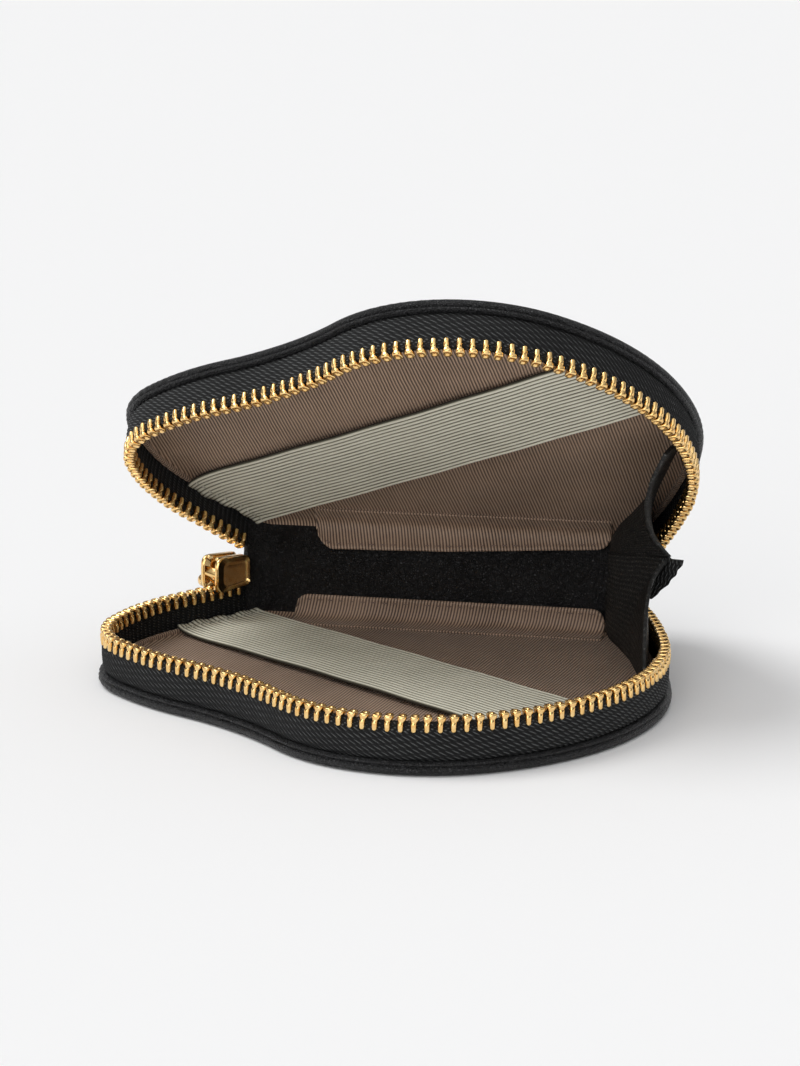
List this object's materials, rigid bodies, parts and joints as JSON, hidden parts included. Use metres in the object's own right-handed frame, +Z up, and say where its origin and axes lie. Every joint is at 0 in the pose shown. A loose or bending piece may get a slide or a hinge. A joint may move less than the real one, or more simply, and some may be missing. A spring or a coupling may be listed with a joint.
{
  "type": "coin purse",
  "caption": "Zip-around clam-shell coin purse with two padded leather halves, leather spine and one folding side gusset, elastic bands inside, metal zip and slider.",
  "frame": {"origin": "on the resting face of the lower half, near the middle of the outline", "axes": "+X along the spine towards the right end of the zip, -Y towards the front opening, +Z up from the surface it rests on"},
  "size_m": [0.1029, 0.0904, 0.0727],
  "materials": {
    "black_leather": "fine pebbled grain, satin",
    "black_tape": "herringbone woven zip tape, matt",
    "taupe_lining": "ribbed twill, soft sheen",
    "cream_elastic": "ribbed elastic webbing, matt",
    "gold_metal": "polished yellow gold plating",
    "grey_board": "plain stiffener board"
  },
  "bodies": {
    "lower_shell": {"lower_outer_panel": "black_leather", "lower_stiffener_board": "grey_board", "lower_lining": "taupe_lining", "lower_edge_piping": "black_leather", "lower_zip_tape": "black_tape", "rear_spine_lower": "black_leather", "lower_zip_teeth": "gold_metal", "lower_end_stop": "gold_metal", "lower_elastic_band": "cream_elastic", "right_gusset_lower": "black_leather", "zip_tape_tail": "black_tape"},
    "upper_shell": {"upper_outer_panel": "black_leather", "upper_stiffener_board": "grey_board", "upper_lining": "taupe_lining", "upper_edge_piping": "black_leather", "upper_zip_tape": "black_tape", "rear_spine_upper": "black_leather", "upper_zip_teeth": "gold_metal", "upper_end_stop": "gold_metal", "upper_elastic_band": "cream_elastic", "right_gusset_upper": "black_leather"},
    "slider": {"slider_body": "gold_metal", "slider_bail": "gold_metal"},
    "pull_tab": {"pull_tab": "gold_metal"}
  },
  "joints": [
    {"name": "lid_hinge", "type": "hinge", "parent": "lower_shell", "child": "upper_shell", "pos_m": [0, 0.0439, 0.01419], "axis": [-0.9915, -0.0198, 0.1289], "range_deg": [-39.6, 25]},
    {"name": "slider_travel", "type": "slide", "parent": "lower_shell", "child": "slider", "axis": [-0.5759, -0.8175, 0], "range_m": [0, 0.008]},
    {"name": "pull_swing", "type": "hinge", "parent": "slider", "child": "pull_tab", "pos_m": [-0.03933, 0.03349, 0.01], "axis": [0, 0, 1], "range_deg": [0, 165]}
  ]
}
